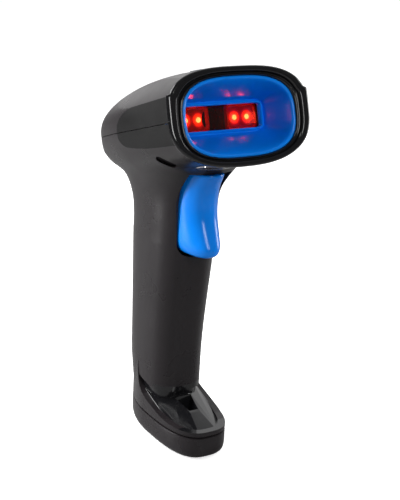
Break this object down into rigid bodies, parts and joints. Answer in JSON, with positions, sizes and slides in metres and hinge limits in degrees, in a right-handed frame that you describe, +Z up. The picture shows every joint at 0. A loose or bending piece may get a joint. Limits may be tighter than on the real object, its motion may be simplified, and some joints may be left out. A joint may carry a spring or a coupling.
{
  "type": "handheld barcode scanner",
  "caption": "Cordless handheld barcode scanner: tilted egg-shaped head with a framed scan mouth, pistol handle with a finger trigger, and a boot-shaped foot it stands on.",
  "frame": {"origin": "centre of the flat rubber pad that the foot stands on", "axes": "+Z up, the scanner looks along -Y, X across it"},
  "size_m": [0.0668, 0.1045, 0.1784],
  "materials": {
    "satin_black": "fine satin texture",
    "gloss_black": "polished",
    "blue_gloss": "polished saturated blue",
    "red_window": "clear red acrylic",
    "smoke_lens": "smoked translucent acrylic",
    "clear_pipe": "clear acrylic",
    "black_rubber": "matt, lightly textured",
    "bright_steel": "plain steel",
    "board_green": "solder-masked board",
    "chip_black": "moulded epoxy",
    "chassis_grey": "moulded, satin",
    "led_red": "lit red emitters",
    "cell_foil": "foil pouch",
    "grey_foam": "foam",
    "wire_skin": "wire insulation",
    "amber_film": "amber film",
    "white_plastic": "moulded"
  },
  "bodies": {
    "scanner_body": {"main_housing": "satin_black", "top_shell": "satin_black", "front_bezel": "gloss_black", "scan_hood": "blue_gloss", "window_gasket": "black_rubber", "scan_window": "red_window", "neck_trim": "gloss_black", "indicator_lens": "smoke_lens", "light_pipe": "clear_pipe", "trigger_pin": "bright_steel", "trigger_spring": "bright_steel", "trigger_switch": "chip_black", "inner_chassis": "chassis_grey", "engine_frame": "chassis_grey", "engine_lens": "gloss_black", "imager_board": "board_green", "led_board": "board_green", "illumination_leds": "led_red", "engine_screws": "bright_steel", "flex_cable": "amber_film", "main_board": "board_green", "board_chips": "chip_black", "beeper": "chip_black", "board_screws": "bright_steel", "battery_cell": "cell_foil", "battery_foam": "grey_foam", "battery_lead": "wire_skin", "charging_socket": "bright_steel", "socket_board": "board_green", "base_cap": "satin_black", "base_pad": "black_rubber", "base_screws": "bright_steel", "head_screws": "bright_steel"},
    "trigger_lever": {"trigger": "blue_gloss"},
    "plunger": {"switch_plunger": "white_plastic"}
  },
  "joints": [
    {"name": "trigger_pull", "type": "hinge", "parent": "scanner_body", "child": "trigger_lever", "pos_m": [0, -0.0083, 0.12798], "axis": [1, 0, 0], "range_deg": [0, 5], "stiffness_Nm_per_rad": 0.35, "springref_deg": -3.44, "deforming": ["trigger_spring"]},
    {"name": "plunger_travel", "type": "slide", "parent": "scanner_body", "child": "plunger", "axis": [0, 1, 0], "range_m": [0, 0.0029]}
  ],
  "couplings": [
    {"joint": "plunger_travel", "follows": "trigger_pull", "m_per_rad": 0.0296}
  ]
}
